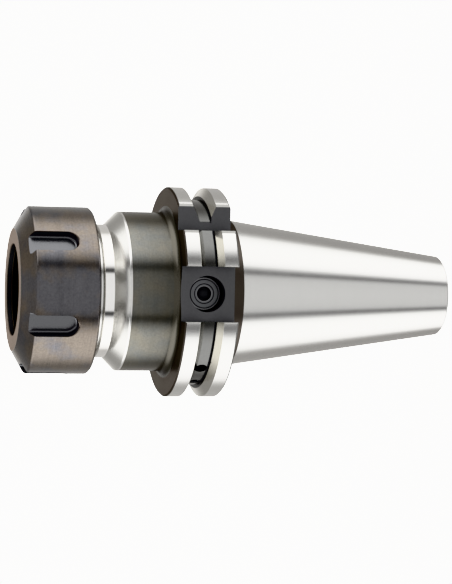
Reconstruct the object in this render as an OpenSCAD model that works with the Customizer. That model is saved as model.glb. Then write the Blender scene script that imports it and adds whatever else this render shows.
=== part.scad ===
// Collet chuck holder: steep taper shank, gripper flange, nose with a collet seat, and clamping nut.
// All sizes are in millimetres. Z runs along the axis, from the small end of the taper up to the nut.

/* [Taper shank] */
// Diameter of the taper at the gauge plane
gauge_d = 44.45; // [42:0.05:47]
// Length from the small end to the gauge plane
taper_len = 68.4; // [62:0.1:76]
// Length over which the taper loses 7 mm of diameter
taper_run = 24; // [20:0.5:30]
// Chamfer around the small end
small_end_chamfer = 0.5; // [0.2:0.1:1.2]

/* [Pull stud hole] */
// Diameter of the pilot bore that centres the pull stud
pilot_d = 17; // [15:0.1:18]
// Depth of the pilot bore
pilot_depth = 9; // [6:0.5:12]
// Chamfer at the mouth of the pilot bore
pilot_chamfer = 0.8; // [0.3:0.1:1.2]
// Diameter of the tapped hole
stud_tap_d = 14; // [12:0.1:14.5]
// Depth of the tapped hole from the small end
stud_tap_depth = 43; // [34:1:50]
// Diameter of the coolant bore above the tapped hole
coolant_d = 10; // [8:0.5:12]

/* [Flange] */
// Diameter of the flange
flange_d = 63.55; // [60:0.05:70]
// Distance from the gauge plane to the rear face of the flange
flange_gap = 3.2; // [2:0.1:6]
// Width of the flange
flange_w = 15.9; // [14:0.1:20]
// Chamfer on both outer edges of the flange
flange_chamfer = 0.5; // [0.2:0.1:1]
// Radius in the corner between the taper and the flange
rear_fillet = 1; // [0.5:0.1:2]
// Distance from the rear face of the flange to the middle of the gripper groove
groove_offset = 7.9; // [6.5:0.1:9]
// Width of the gripper groove at the flange's edge
groove_w = 7.07; // [6:0.01:9]
// Angle between the flanks of the gripper groove
groove_angle = 60; // [50:1:68]
// Depth of the gripper groove
groove_depth = 3.65; // [3:0.05:4.2]
// Width of the undercut along the rear side of the groove's floor
undercut_w = 0.45; // [0.2:0.05:0.6]
// Depth of that undercut below the groove's floor
undercut_h = 0.3; // [0.2:0.05:0.8]
// How far that undercut reaches into the foot of the groove's rear flank
undercut_reach = 0.6; // [0.3:0.05:0.9]

/* [Drive slots] */
// Width of both drive slots
drive_slot_w = 16.1; // [12:0.1:20]
// Distance from the axis to the floor of the slot with the screw
near_slot_floor = 25; // [24.2:0.1:27]
// Distance from the axis to the floor of the other slot
far_slot_floor = 22.8; // [22:0.1:26]
// How far the slots run out past the front face of the flange
slot_runout = 2.2; // [0.5:0.1:4]
// Chamfer along the slots' outer edges
slot_chamfer = 0.4; // [0.2:0.05:0.8]

/* [Orientation notch] */
// Distance from the axis to both walls of the notch
notch_offset = 18.5; // [18:0.1:21]
// Chamfer along the notch's outer edges
notch_chamfer = 0.25; // [0.1:0.05:0.8]

/* [Body] */
// Diameter of the body in front of the flange
body_d = 48; // [46:0.1:49]
// Length of the body from the flange to the cone
body_len = 14.7; // [12:0.1:24]
// Radius in the corner between the flange and the body
front_fillet = 2; // [0.5:0.1:2.5]
// Radius of the edge between the body and the cone
body_edge_r = 1.2; // [0.3:0.1:1.5]
// Slope of the cone between the body and the neck, in degrees to the axis
body_cone_angle = 45; // [35:1:55]
// Diameter of the neck behind the nut
neck_d = 40; // [39.8:0.1:42]
// Length of the neck
neck_len = 3.1; // [2:0.1:8]
// Diameter of the relief groove behind the thread
relief_d = 37.6; // [36:0.1:38.2]
// Width of that relief groove
relief_w = 3.2; // [2.5:0.1:5]
// Chamfer between the neck and the relief groove
relief_chamfer = 0.4; // [0.2:0.1:0.6]

/* [Nose] */
// Mean diameter of the nose thread, which is drawn plain
thread_d = 38.96; // [38.8:0.01:39.3]
// Length of the threaded nose
nose_len = 11.2; // [9:0.1:14]
// Chamfer at both ends of the thread
thread_chamfer = 0.9; // [0.4:0.1:1.2]
// Diameter of the collet seat at its mouth
seat_mouth_d = 33; // [30:0.1:34]
// Slope of the collet seat to the axis, in degrees
seat_angle = 8; // [7:0.1:8.5]
// Length of the collet seat
seat_len = 33; // [28:0.5:36]
// Diameter of the socket below the seat
socket_d = 22.4; // [18:0.1:23]
// Length of the socket below the seat
socket_len = 30; // [15:0.5:34]

/* [Clamping nut] */
// Diameter of the nut
nut_d = 50; // [48.5:0.1:54]
// Length of the nut
nut_len = 22.5; // [21:0.1:25]
// Gap between the neck's shoulder and the tightened nut
nut_gap = 1.6; // [1:0.1:2.2]
// Diameter of the nut's flat front face
nut_face_d = 36.6; // [34:0.1:38]
// Diameter where the front cone meets the rounded shoulder
nut_shoulder_d = 48.8; // [46:0.1:49.4]
// Angle between the front cone and the front face
nut_cone_angle = 30; // [25:1:35]
// Length of the rounded shoulder along the axis
nut_shoulder_len = 0.7; // [0.3:0.1:1.5]
// Chamfer on the nut's rear edge
nut_rear_chamfer = 0.7; // [0.3:0.1:1.5]
// Diameter of the hole in the nut's front wall
nut_mouth_d = 27.4; // [25:0.1:28]
// Thickness of the nut's front wall
nut_front_wall = 1.5; // [1.2:0.1:2]
// Chamfer at the nut's mouth
nut_mouth_chamfer = 0.2; // [0.1:0.05:0.4]

/* [Spanner slots] */
// Number of spanner slots around the nut
spanner_slots = 6; // [4:1:6]
// Width of each spanner slot
spanner_slot_w = 6.7; // [5:0.1:8]
// Distance from the axis to the floor of each spanner slot
spanner_floor = 22.1; // [21:0.1:22.8]
// Length of each spanner slot from the nut's front face
spanner_slot_len = 16.4; // [12:0.1:18]
// Angle by which the slots are turned about the axis
spanner_turn = 36.4; // [0:0.1:59]
// Chamfer in the corners of each slot's floor
spanner_floor_chamfer = 0.6; // [0.2:0.1:1]
// Chamfer along each slot's outer edges
spanner_edge_chamfer = 0.3; // [0.1:0.05:0.6]

/* [Press ring] */
// Outer diameter of the press ring inside the nut
ring_d = 37.1; // [36.6:0.1:37.6]
// Length of the press ring
ring_len = 6.6; // [6:0.1:6.8]
// Slope of the ring's cone to the axis, in degrees
ring_cone_angle = 30; // [28:1:32]
// Largest diameter of the ring's cone
ring_cone_d = 33; // [31:0.1:34]
// Length of the lip that pulls the collet out
ring_lip_len = 1.3; // [0.8:0.1:1.4]
// Diameter of the hole in that lip
ring_lip_d = 31.2; // [30:0.1:31.6]
// Distance between the axes of the lip and the ring
ring_lip_offset = 0.5; // [0.2:0.1:0.6]
// Thickness of the circlip that holds the ring
clip_t = 1; // [0.8:0.1:1.1]
// Depth of the circlip's groove
clip_groove = 0.6; // [0.4:0.05:0.7]
// Radial width of the circlip
clip_w = 2; // [1.6:0.1:2.2]
// Gap between the circlip's ends
clip_opening = 7; // [4:0.5:12]

/* [Slot screw] */
// Distance from the rear face of the flange to the screw's axis
screw_offset = 8.15; // [7:0.05:9]
// Diameter of the screw's head
head_d = 9.8; // [8:0.1:10]
// Height of the screw's head
head_h = 3.7; // [3:0.1:4.5]
// Chamfer on the screw's head
head_chamfer = 0.3; // [0.1:0.05:0.6]
// Diameter of the shallow recess around the screw's socket
head_recess_d = 5.5; // [5:0.1:7]
// Depth of that recess
head_recess_h = 0.2; // [0.1:0.05:0.5]
// Width across the flats of the screw's hexagon socket
hex_w = 3.7; // [3:0.1:4]
// Depth of the hexagon socket
hex_depth = 2.3; // [1.5:0.1:2.6]
// Diameter of the screw's shank
shank_d = 6; // [4:0.1:6]
// Length of the screw's shank
shank_len = 3.5; // [2.5:0.1:4]
// Diameter of the counterbore
counterbore_d = 10.6; // [10.2:0.1:12]
// Depth of the counterbore below the slot's floor
counterbore_depth = 8; // [5:0.1:8.5]

/* [Balance holes] */
// Diameter of the two holes in the groove's floor
balance_d = 3.7; // [2.5:0.1:4.5]
// Depth of the two holes
balance_depth = 8; // [6:0.1:9]
// Direction of the open hole, measured from the near drive slot
open_hole_angle = -52; // [-58:1:-45]
// Direction of the hole with the set screw
set_screw_angle = -71; // [-85:1:-66]
// Length of the set screw
set_screw_len = 6; // [4:0.1:6]
// How far the set screw sits below the groove's floor
set_screw_recess = 0.4; // [0.2:0.1:1]
// Width across the flats of the set screw's socket
set_screw_hex_w = 2; // [1.5:0.1:2.2]
// Depth of the set screw's socket
set_screw_hex_depth = 2; // [1:0.1:3]

/* [Fits] */
// Radial clearance of the nut's thread
thread_clearance = 0.05; // [0.02:0.01:0.09]
// Radial clearance of the press ring in the nut
ring_clearance = 0.05; // [0.02:0.01:0.09]
// Clearance along the axis around the ring and its circlip
ring_play = 0.1; // [0.05:0.01:0.15]
// Radial clearance of each screw in its hole
screw_clearance = 0.02; // [0.01:0.01:0.1]

/* [Hidden] */
$fn = 128;
EPS = 0.01;
OVERRUN = 1;
HEX_SIDES = 6;
HEX_CORNER = 1 / cos(180 / HEX_SIDES);
ARC_STEPS = 10;
TAPER_LOSS = 7;
BRIGHT_STEEL = [0.74, 0.73, 0.71];
DARK_STEEL = [0.27, 0.25, 0.24];
BLACK_STEEL = [0.13, 0.13, 0.14];

// Places along the axis, from the small end up
flange_z = taper_len + flange_gap;
flange_front_z = flange_z + flange_w;
groove_z = flange_z + groove_offset;
screw_z = flange_z + screw_offset;
cone_z = flange_front_z + body_len;
edge_arc_z = cone_z - body_edge_r * tan(body_cone_angle / 2);
neck_z = cone_z + (body_d - neck_d) / 2 / tan(body_cone_angle);
relief_z = neck_z + neck_len;
thread_z = relief_z + relief_w;
nose_z = thread_z + nose_len;
nut_z = relief_z + nut_gap;
nut_front_z = nut_z + nut_len;
seat_z = nose_z - seat_len;
socket_z = seat_z - socket_len;
ring_top_z = nut_front_z - nut_front_wall - ring_play;
ring_z = ring_top_z - ring_len;
clip_top_z = ring_z - ring_play;
clip_z = clip_top_z - clip_t;

// Radii that follow from the sizes above
flange_r = flange_d / 2;
groove_floor_r = flange_r - groove_depth;
groove_slope = tan(groove_angle / 2);
floor_half_w = groove_w / 2 - groove_depth * groove_slope;
undercut_z = groove_z - floor_half_w - undercut_reach;
thread_r = thread_d / 2;
nut_thread_r = thread_r + thread_clearance;
nut_r = nut_d / 2;
cavity_r = ring_d / 2 + ring_clearance;
clip_groove_r = nut_thread_r + clip_groove;
clip_r = clip_groove_r - ring_clearance;
seat_small_r = seat_mouth_d / 2 - seat_len * tan(seat_angle);
counterbore_r = near_slot_floor - counterbore_depth;
head_top_r = counterbore_r + head_h;
socket_top_r = head_top_r - head_recess_h;

// Radius of the taper at a height above the small end
function taper_r(z) = gauge_d / 2 - (taper_len - z) * TAPER_LOSS / taper_run / 2;

// Points of an arc about [x, z], from one angle to another
function arc(x, z, r, from, to) =
    [for (i = [0:ARC_STEPS]) let (a = from + (to - from) * i / ARC_STEPS) [x + r * cos(a), z + r * sin(a)]];

// Outer outline of the holder from the small end up to the nose
function holder_outline() = concat(
    [[0, 0], [taper_r(0) - small_end_chamfer, 0], [taper_r(small_end_chamfer), small_end_chamfer]],
    arc(taper_r(flange_z - rear_fillet) + rear_fillet, flange_z - rear_fillet, rear_fillet, 180, 90),
    [
        [flange_r - flange_chamfer, flange_z],
        [flange_r, flange_z + flange_chamfer],
        [flange_r, groove_z - groove_w / 2],
        [groove_floor_r + undercut_reach / groove_slope, undercut_z],
        [groove_floor_r - undercut_h, undercut_z],
        [groove_floor_r - undercut_h, undercut_z + undercut_w],
        [groove_floor_r, undercut_z + undercut_w],
        [groove_floor_r, groove_z + floor_half_w],
        [flange_r, groove_z + groove_w / 2],
        [flange_r, flange_front_z - flange_chamfer],
        [flange_r - flange_chamfer, flange_front_z]
    ],
    arc(body_d / 2 + front_fillet, flange_front_z + front_fillet, front_fillet, 270, 180),
    arc(body_d / 2 - body_edge_r, edge_arc_z, body_edge_r, 0, body_cone_angle),
    [
        [neck_d / 2, neck_z],
        [neck_d / 2, relief_z - relief_chamfer],
        [neck_d / 2 - relief_chamfer, relief_z],
        [relief_d / 2, relief_z],
        [relief_d / 2, thread_z],
        [thread_r, thread_z + thread_chamfer],
        [thread_r, nose_z - thread_chamfer],
        [thread_r - thread_chamfer, nose_z],
        [0, nose_z]
    ]
);

// Holes along the axis of the holder
module axial_holes() {
    translate([0, 0, -EPS]) cylinder(r = pilot_d / 2, h = pilot_depth + EPS);
    translate([0, 0, -EPS])
        cylinder(r1 = pilot_d / 2 + pilot_chamfer + EPS, r2 = pilot_d / 2, h = pilot_chamfer + EPS);
    cylinder(r = stud_tap_d / 2, h = stud_tap_depth);
    cylinder(r = coolant_d / 2, h = socket_z + EPS);
    translate([0, 0, socket_z]) cylinder(r = socket_d / 2, h = seat_z - socket_z + EPS);
    translate([0, 0, seat_z]) cylinder(r1 = seat_small_r, r2 = seat_mouth_d / 2, h = seat_len);
    translate([0, 0, nose_z - EPS]) cylinder(r = seat_mouth_d / 2, h = OVERRUN);
}

// Cutter for one drive slot, with its floor at the given distance on the +Y side
module drive_slot(floor_y) {
    half_w = drive_slot_w / 2;
    edge_y = sqrt(pow(flange_r, 2) - pow(half_w, 2)) - slot_chamfer;
    translate([0, 0, flange_z - OVERRUN])
        linear_extrude(flange_w + slot_runout + OVERRUN)
            polygon([
                [-half_w, floor_y],
                [half_w, floor_y],
                [half_w, edge_y],
                [half_w + flange_r, edge_y + flange_r],
                [-half_w - flange_r, edge_y + flange_r],
                [-half_w, edge_y]
            ]);
}

// Cutter for the orientation notch, with both walls parallel to the axis
module orientation_notch() {
    edge = sqrt(pow(flange_r, 2) - pow(notch_offset, 2)) - notch_chamfer;
    translate([0, 0, flange_z - OVERRUN])
        linear_extrude(flange_w + 2 * OVERRUN)
            polygon([
                [notch_offset, -notch_offset],
                [notch_offset, -edge],
                [notch_offset - flange_r, -edge - flange_r],
                [edge + flange_r, -edge - flange_r],
                [edge + flange_r, flange_r - notch_offset],
                [edge, -notch_offset]
            ]);
}

// Places what stands along Z so that it points out radially, at the given height
module radial(angle, distance, height) {
    rotate([0, 0, angle]) translate([0, -distance, height]) rotate([90, 0, 0]) children();
}

// Counterbore and tapped hole for the screw in the near drive slot
module slot_screw_hole() {
    radial(0, counterbore_r, screw_z) cylinder(r = counterbore_d / 2, h = counterbore_depth + OVERRUN);
    radial(0, counterbore_r - shank_len - OVERRUN, screw_z)
        cylinder(r = shank_d / 2 + screw_clearance, h = shank_len + OVERRUN + EPS);
}

// The two holes in the floor of the gripper groove
module balance_holes() {
    for (angle = [open_hole_angle, set_screw_angle])
        radial(angle, groove_floor_r - balance_depth, groove_z)
            cylinder(r = balance_d / 2, h = balance_depth + groove_depth);
}

// Shank, flange, body and nose, turned from one piece
module holder_body() {
    color(BRIGHT_STEEL)
        difference() {
            rotate_extrude() polygon(holder_outline());
            axial_holes();
            mirror([0, 1, 0]) drive_slot(near_slot_floor);
            drive_slot(far_slot_floor);
            orientation_notch();
            slot_screw_hole();
            balance_holes();
        }
}

// Low head screw in the near drive slot
module slot_screw() {
    color(BLACK_STEEL)
        difference() {
            union() {
                radial(0, counterbore_r, screw_z) cylinder(r = head_d / 2, h = head_h - head_chamfer);
                radial(0, head_top_r - head_chamfer, screw_z)
                    cylinder(r1 = head_d / 2, r2 = head_d / 2 - head_chamfer, h = head_chamfer);
                radial(0, counterbore_r - shank_len, screw_z)
                    cylinder(r = shank_d / 2, h = shank_len + EPS);
            }
            radial(0, socket_top_r, screw_z) cylinder(r = head_recess_d / 2, h = OVERRUN);
            radial(0, head_top_r - hex_depth, screw_z)
                cylinder(r = hex_w / 2 * HEX_CORNER, h = hex_depth, $fn = HEX_SIDES);
            radial(0, socket_top_r - head_chamfer, screw_z)
                cylinder(r1 = hex_w / 2, r2 = hex_w / 2 * HEX_CORNER, h = head_chamfer + EPS);
        }
}

// Set screw in the groove's floor
module balance_screw() {
    screw_base = groove_floor_r - set_screw_recess - set_screw_len;
    socket_h = set_screw_hex_depth + OVERRUN;
    color(BLACK_STEEL)
        difference() {
            radial(set_screw_angle, screw_base, groove_z)
                cylinder(r = balance_d / 2 - screw_clearance, h = set_screw_len);
            radial(set_screw_angle, screw_base + set_screw_len - set_screw_hex_depth, groove_z)
                cylinder(r = set_screw_hex_w / 2 * HEX_CORNER, h = socket_h, $fn = HEX_SIDES);
        }
}

// Outer outline of the nut
function nut_outline() = let (
    cone_len = (nut_shoulder_d - nut_face_d) / 2 * tan(nut_cone_angle),
    shoulder_z = nut_front_z - cone_len
) [
    [0, nut_z],
    [nut_r - nut_rear_chamfer, nut_z],
    [nut_r, nut_z + nut_rear_chamfer],
    [nut_r, shoulder_z - nut_shoulder_len],
    [nut_shoulder_d / 2, shoulder_z],
    [nut_face_d / 2, nut_front_z],
    [0, nut_front_z]
];

// Room inside the nut for the nose, the circlip, the press ring and the collet
module nut_holes() {
    mouth_r = nut_mouth_d / 2;
    translate([0, 0, nut_z - EPS]) cylinder(r = nut_thread_r, h = clip_top_z - nut_z);
    translate([0, 0, nut_z - EPS])
        cylinder(r1 = nut_thread_r + thread_chamfer + EPS, r2 = nut_thread_r, h = thread_chamfer + EPS);
    translate([0, 0, clip_z - ring_play])
        cylinder(r = clip_groove_r, h = clip_t + 2 * ring_play);
    translate([0, 0, clip_z]) cylinder(r = cavity_r, h = nut_front_z - nut_front_wall - clip_z);
    translate([0, 0, ring_z]) cylinder(r = mouth_r, h = nut_front_z - ring_z + OVERRUN);
    translate([0, 0, nut_front_z - nut_mouth_chamfer])
        cylinder(r1 = mouth_r, r2 = mouth_r + nut_mouth_chamfer + EPS, h = nut_mouth_chamfer + EPS);
}

// Half of a spanner slot's cross-section, from the middle of its floor outward
function spanner_profile() = let (
    half_w = spanner_slot_w / 2,
    edge_h = nut_r - spanner_floor - spanner_edge_chamfer
) [
    [0, 0],
    [half_w - spanner_floor_chamfer, 0],
    [half_w, spanner_floor_chamfer],
    [half_w, edge_h],
    [half_w + edge_h, 2 * edge_h],
    [0, 2 * edge_h]
];

// Cutter for one spanner slot, open to the nut's front and round at its end
module spanner_slot() {
    translate([0, spanner_floor, nut_front_z - spanner_slot_len + spanner_slot_w / 2]) {
        rotate([-90, 0, 0]) rotate_extrude() polygon(spanner_profile());
        for (side = [0, 1])
            mirror([side, 0, 0]) linear_extrude(spanner_slot_len) polygon(spanner_profile());
    }
}

// Slotted clamping nut
module clamping_nut() {
    color(DARK_STEEL)
        difference() {
            rotate_extrude() polygon(nut_outline());
            nut_holes();
            for (i = [0:spanner_slots - 1])
                rotate([0, 0, spanner_turn + i * 360 / spanner_slots]) spanner_slot();
        }
}

// Ring in the nut that presses on the collet's cone and pulls the collet out by its lip
module press_ring() {
    cone_len = (ring_cone_d - nut_mouth_d) / 2 / tan(ring_cone_angle);
    color(DARK_STEEL)
        difference() {
            translate([0, 0, ring_z]) cylinder(r = ring_d / 2, h = ring_len);
            translate([0, 0, ring_top_z - cone_len])
                cylinder(r1 = ring_cone_d / 2, r2 = nut_mouth_d / 2, h = cone_len + EPS);
            translate([0, 0, ring_z + ring_lip_len])
                cylinder(r = ring_cone_d / 2, h = ring_len - ring_lip_len - cone_len + EPS);
            translate([ring_lip_offset, 0, ring_z - EPS])
                cylinder(r = ring_lip_d / 2, h = ring_lip_len + 2 * EPS);
        }
}

// Circlip that holds the press ring in the nut
module ring_circlip() {
    color(BRIGHT_STEEL)
        difference() {
            translate([0, 0, clip_z]) cylinder(r = clip_r, h = clip_t);
            translate([0, 0, clip_z - EPS]) cylinder(r = clip_r - clip_w, h = clip_t + 2 * EPS);
            translate([-clip_opening / 2, 0, clip_z - EPS])
                cube([clip_opening, clip_r + EPS, clip_t + 2 * EPS]);
        }
}

holder_body();
slot_screw();
balance_screw();
clamping_nut();
press_ring();
ring_circlip();
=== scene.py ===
"""Looks of a collet chuck holder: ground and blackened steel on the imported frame, in a pale studio."""

from math import ceil, cos, pi, radians, sin, sqrt, tan

import bmesh
import bpy
import numpy as np
from bpy.props import FloatProperty, FloatVectorProperty, IntProperty, PointerProperty
from mathutils import Matrix, Vector


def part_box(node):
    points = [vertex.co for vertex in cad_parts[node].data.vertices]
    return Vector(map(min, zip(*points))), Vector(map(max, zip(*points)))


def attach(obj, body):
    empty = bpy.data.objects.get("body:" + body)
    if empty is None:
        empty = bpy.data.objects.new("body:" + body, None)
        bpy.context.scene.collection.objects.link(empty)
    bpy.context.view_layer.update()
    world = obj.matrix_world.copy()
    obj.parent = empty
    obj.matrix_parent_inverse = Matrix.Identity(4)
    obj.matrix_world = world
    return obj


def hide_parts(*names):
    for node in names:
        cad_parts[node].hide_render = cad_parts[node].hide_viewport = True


bl_info = {
    "name": "Collet Chuck Holder",
    "version": (1, 0, 0),
    "blender": (4, 5, 0),
    "location": "View3D > Sidebar > Holder",
    "description": "Builds a collet chuck holder, its finishes and a studio around it",
    "category": "Add Mesh",
}

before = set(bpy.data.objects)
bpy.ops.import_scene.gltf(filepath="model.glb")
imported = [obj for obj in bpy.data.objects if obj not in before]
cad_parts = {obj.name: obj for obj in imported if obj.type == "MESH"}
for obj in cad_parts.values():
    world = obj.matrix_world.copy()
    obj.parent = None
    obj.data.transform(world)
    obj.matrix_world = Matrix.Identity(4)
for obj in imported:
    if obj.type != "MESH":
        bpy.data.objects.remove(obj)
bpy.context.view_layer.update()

MM = 0.001


def length(label, about, millimetres):
    """A length property whose default is given in millimetres."""
    return FloatProperty(
        name=label, description=about, default=millimetres * MM, min=0.0, precision=5, unit="LENGTH"
    )


def turn(label, about, angle):
    """An angle property whose default is given in degrees."""
    return FloatProperty(name=label, description=about, default=radians(angle), unit="ROTATION")


def number(label, about, value):
    """A plain number property."""
    return FloatProperty(name=label, description=about, default=value)


def colour(label, about, value):
    """A colour property."""
    return FloatVectorProperty(
        name=label, description=about, default=value, min=0.0, max=1.0, size=3, subtype="COLOR"
    )


class HolderSizes(bpy.types.PropertyGroup):
    """Sizes of the holder's shank, flange, body and nose."""

    gauge_d: length("Gauge diameter", "Diameter of the taper at the gauge plane", 44.45)
    taper_run: length("Taper run", "Length over which the taper loses 7 mm of diameter", 24)
    taper_len: length("Taper length", "From the small end to the gauge plane", 68.4)
    ground_end: length("Ground length", "From the small end to where the taper stops being ground", 67.9)
    small_chamfer: length("Small end chamfer", "Chamfer around the small end", 0.5)
    pilot_d: length("Pilot bore", "Diameter of the bore that centres the pull stud", 17)
    pilot_depth: length("Pilot depth", "Depth of that bore", 9)
    pilot_chamfer: length("Pilot chamfer", "Chamfer at its mouth", 0.8)
    stud_d: length("Tapped hole", "Mean diameter of the pull stud's thread", 14)
    stud_depth: length("Tapped depth", "Depth of the tapped hole", 43)
    stud_pitch: length("Stud pitch", "Pitch of the pull stud's thread", 2)
    stud_height: length("Stud thread height", "From root to crest of the pull stud's thread", 0.9)
    coolant_d: length("Coolant bore", "Diameter of the bore for coolant", 10)
    flange_d: length("Flange diameter", "Diameter of the flange", 63.55)
    flange_gap: length("Flange gap", "From the gauge plane to the flange", 3.2)
    flange_w: length("Flange width", "Width of the flange", 15.9)
    flange_chamfer: length("Flange chamfer", "Chamfer on both edges of the flange", 0.5)
    rear_fillet: length("Rear fillet", "Radius between taper and flange", 1)
    groove_offset: length("Groove offset", "From the flange's rear face to the middle of the groove", 7.9)
    groove_w: length("Groove width", "Width of the groove at the flange's edge", 7.07)
    groove_angle: turn("Groove angle", "Angle between the groove's flanks", 60)
    groove_depth: length("Groove depth", "Depth of the gripper groove", 3.65)
    undercut_w: length("Undercut width", "Width of the undercut along the groove's floor", 0.45)
    undercut_h: length("Undercut depth", "Depth of the undercut below the groove's floor", 0.3)
    undercut_reach: length("Undercut reach", "How far the undercut reaches into the rear flank's foot", 0.6)
    slot_w: length("Drive slot width", "Width of both drive slots", 16.1)
    near_floor: length("Near slot floor", "From the axis to the floor of the slot with the screw", 25)
    far_floor: length("Far slot floor", "From the axis to the floor of the other slot", 22.8)
    slot_runout: length("Slot runout", "How far the slots run past the flange's front", 2.2)
    slot_chamfer: length("Slot chamfer", "Chamfer along the drive slots' outer edges", 0.4)
    notch_chamfer: length("Notch chamfer", "Chamfer along the notch's outer edges", 0.25)
    notch_offset: length("Notch offset", "From the axis to both walls of the notch", 18.5)
    body_d: length("Body diameter", "Diameter of the body", 48)
    body_len: length("Body length", "From the flange to the cone", 14.7)
    front_fillet: length("Front fillet", "Radius between flange and body", 2)
    body_edge: length("Body edge", "Radius between body and cone", 1.2)
    body_cone: turn("Body cone", "Slope of the cone between body and neck", 45)
    neck_d: length("Neck diameter", "Diameter of the neck", 40)
    neck_len: length("Neck length", "Length of the neck", 3.1)
    relief_d: length("Relief diameter", "Diameter of the groove behind the thread", 37.6)
    relief_w: length("Relief width", "Width of that groove", 3.2)
    relief_chamfer: length("Relief chamfer", "Chamfer between the neck and that groove", 0.4)
    thread_d: length("Thread diameter", "Mean diameter of the nose thread", 38.96)
    nose_len: length("Nose length", "Length of the threaded nose", 11.2)
    seat_mouth_d: length("Seat mouth", "Diameter of the collet seat at its mouth", 33)
    seat_angle: turn("Seat angle", "Slope of the collet seat", 8)
    seat_len: length("Seat length", "Length of the collet seat", 33)
    socket_d: length("Socket", "Diameter of the socket below the seat", 22.4)
    socket_len: length("Socket length", "Length of that socket", 30)
    edge_break: length("Edge break", "Radius on turned edges that look sharp", 0.12)


class NutSizes(bpy.types.PropertyGroup):
    """Sizes of the clamping nut, its press ring and its circlip."""

    nut_d: length("Nut diameter", "Diameter of the nut", 50)
    face_d: length("Face diameter", "Diameter of the flat front face", 36.6)
    shoulder_d: length("Shoulder diameter", "Where the cone meets the rounded shoulder", 48.8)
    cone_angle: turn("Cone angle", "Angle between the cone and the front face", 30)
    shoulder_len: length("Shoulder length", "Length of the rounded shoulder", 0.7)
    rear_chamfer: length("Rear chamfer", "Chamfer on the rear edge", 0.7)
    rear_round: length("Rear rounding", "Radius where that chamfer meets the outside", 0.3)
    shoulder_round: length("Shoulder rounding", "Radius between the outside and the cone", 0.9)
    face_round: length("Face rounding", "Radius between the cone and the front face", 0.25)
    mouth_d: length("Mouth", "Diameter of the hole in the front wall", 27.4)
    front_wall: length("Front wall", "Thickness of the front wall", 1.5)
    mouth_chamfer: length("Mouth chamfer", "Chamfer at the mouth", 0.2)
    thread_clearance: length("Thread clearance", "Radial clearance of the thread", 0.05)
    thread_chamfer: length("Thread chamfer", "Chamfer at the thread's ends", 0.9)
    pitch: length("Pitch", "Pitch of the nut's thread", 1.5)
    thread_height: length("Thread height", "From root to crest", 0.84)
    slots: IntProperty(name="Spanner slots", description="Number of spanner slots", default=6, min=3, max=8)
    slot_w: length("Spanner slot width", "Width of each spanner slot", 6.7)
    slot_floor: length("Spanner slot floor", "From the axis to the floor of each slot", 22.1)
    slot_len: length("Spanner slot length", "Length of each slot from the front face", 16.4)
    slot_turn: turn("Slot direction", "Direction of the first slot from the near drive slot", 36.4)
    slot_round: length("Slot floor radius", "Radius around the floor of each slot", 0.7)
    slot_edge: length("Slot edge", "Chamfer along the outer edges of each slot", 0.3)
    cavity_d: length("Cavity", "Diameter of the room for the press ring", 37.2)
    ring_d: length("Ring diameter", "Outer diameter of the press ring", 37.1)
    ring_len: length("Ring length", "Length of the press ring", 6.6)
    ring_angle: turn("Ring cone", "Slope of the ring's cone", 30)
    ring_cone_d: length("Ring cone diameter", "Largest diameter of the ring's cone", 33)
    lip_len: length("Lip length", "Length of the lip that pulls the collet", 1.3)
    lip_d: length("Lip diameter", "Diameter of the hole in the lip", 31.2)
    lip_offset: length("Lip offset", "Distance between the axes of lip and ring", 0.5)
    play: length("Play", "Clearance along the axis around the ring and its circlip", 0.1)
    clip_t: length("Circlip thickness", "Thickness of the circlip", 1)
    clip_d: length("Circlip diameter", "Outer diameter of the circlip", 40.16)
    clip_w: length("Circlip width", "Radial width of the circlip", 2)
    clip_opening: length("Circlip opening", "Gap between its ends", 7)


class ScrewSizes(bpy.types.PropertyGroup):
    """Sizes of the slot screw, the set screw and their holes."""

    offset: length("Screw offset", "From the flange's rear face to the slot screw", 8.15)
    head_d: length("Head diameter", "Diameter of the slot screw's head", 9.8)
    head_h: length("Head height", "Height of the head", 3.7)
    head_chamfer: length("Head chamfer", "Chamfer on the head", 0.3)
    rim_d: length("Rim line", "Diameter of the fine line turned into the head", 8.7)
    rim_w: length("Rim line width", "Width of that line, and of the recess's sloping edge", 0.26)
    dish_d: length("Recess", "Diameter of the shallow recess around the socket", 5.5)
    dish_h: length("Recess depth", "Depth of that recess", 0.2)
    hex_w: length("Hexagon", "Width across the flats of the socket", 3.7)
    hex_depth: length("Hexagon depth", "Depth of the socket", 2.3)
    shank_d: length("Shank diameter", "Diameter of the shank", 6)
    shank_len: length("Shank length", "Length of the shank", 3.5)
    bore_d: length("Counterbore", "Diameter of the counterbore", 10.6)
    bore_depth: length("Counterbore depth", "Depth of the counterbore", 8)
    balance_d: length("Balance hole", "Diameter of the holes in the groove's floor", 3.7)
    balance_depth: length("Balance depth", "Depth of those holes", 8)
    drill_point: length("Drill point", "Depth of the cone that a drill leaves", 0.8)
    tap_runout: length("Tap runout", "How far the tapped hole runs past the slot screw's tip", 1)
    open_angle: turn("Open hole", "Direction of the open hole from the near drive slot", -52)
    set_angle: turn("Set screw", "Direction of the hole with the set screw", -71)
    set_len: length("Set screw length", "Length of the set screw", 6)
    set_recess: length("Set screw recess", "How far it sits below the groove's floor", 0.4)
    set_hex_w: length("Set screw hexagon", "Width across the flats of its socket", 2)
    set_hex_depth: length("Set screw socket", "Depth of its socket", 2)
    clearance: length("Clearance", "Radial clearance of each screw", 0.02)


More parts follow.
